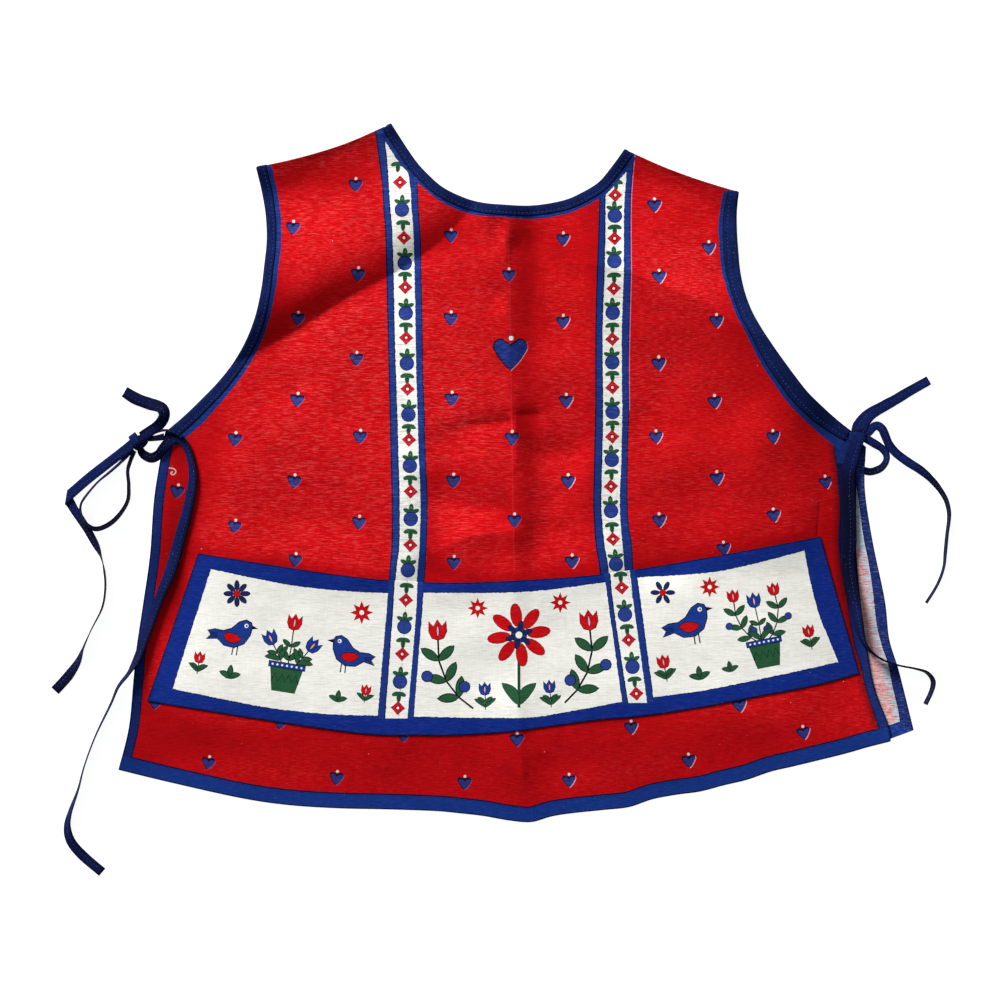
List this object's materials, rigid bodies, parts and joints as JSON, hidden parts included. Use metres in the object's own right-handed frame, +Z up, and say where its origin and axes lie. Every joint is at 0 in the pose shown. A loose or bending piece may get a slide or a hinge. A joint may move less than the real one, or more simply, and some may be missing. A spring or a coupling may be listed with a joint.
{
  "type": "tabard apron",
  "caption": "Tabard apron laid flat: printed red front over a like back, taped neck and armholes, a sewn strip of pockets across the front, and tape ties knotted in a bow at each side.",
  "frame": {"origin": "on the surface that the apron lies on, under the middle of its box", "axes": "+Z up out of the front panel, +Y from the hem to the neck, +X to the right across the front as it is looked at"},
  "size_m": [0.8077, 0.6769, 0.0174],
  "materials": {
    "printed_cloth": "printed coarse cotton and linen, matt, faded with wear",
    "cloth_inside": "wrong side of the printed cloth, pale and matt",
    "binding_tape": "woven cotton tape, matt navy, with a line of stitches",
    "pocket_print": "printed off-white linen, matt, with a blue border"
  },
  "bodies": {
    "root": {"back_panel": "cloth_inside", "front_panel": "printed_cloth", "neck_binding": "binding_tape", "right_armhole_binding": "binding_tape", "left_armhole_binding": "binding_tape", "pocket_strip": "pocket_print", "left_front_tie": "binding_tape", "left_back_tie": "binding_tape", "left_flat_loop": "binding_tape", "left_inner_loop": "binding_tape", "left_long_tail": "binding_tape", "left_front_tail": "binding_tape", "right_back_tie": "binding_tape", "right_flat_loop": "binding_tape", "right_small_loop": "binding_tape", "right_outer_tail": "binding_tape", "right_front_tail": "binding_tape", "left_knot": "binding_tape", "right_knot": "binding_tape"}
  },
  "joints": []
}
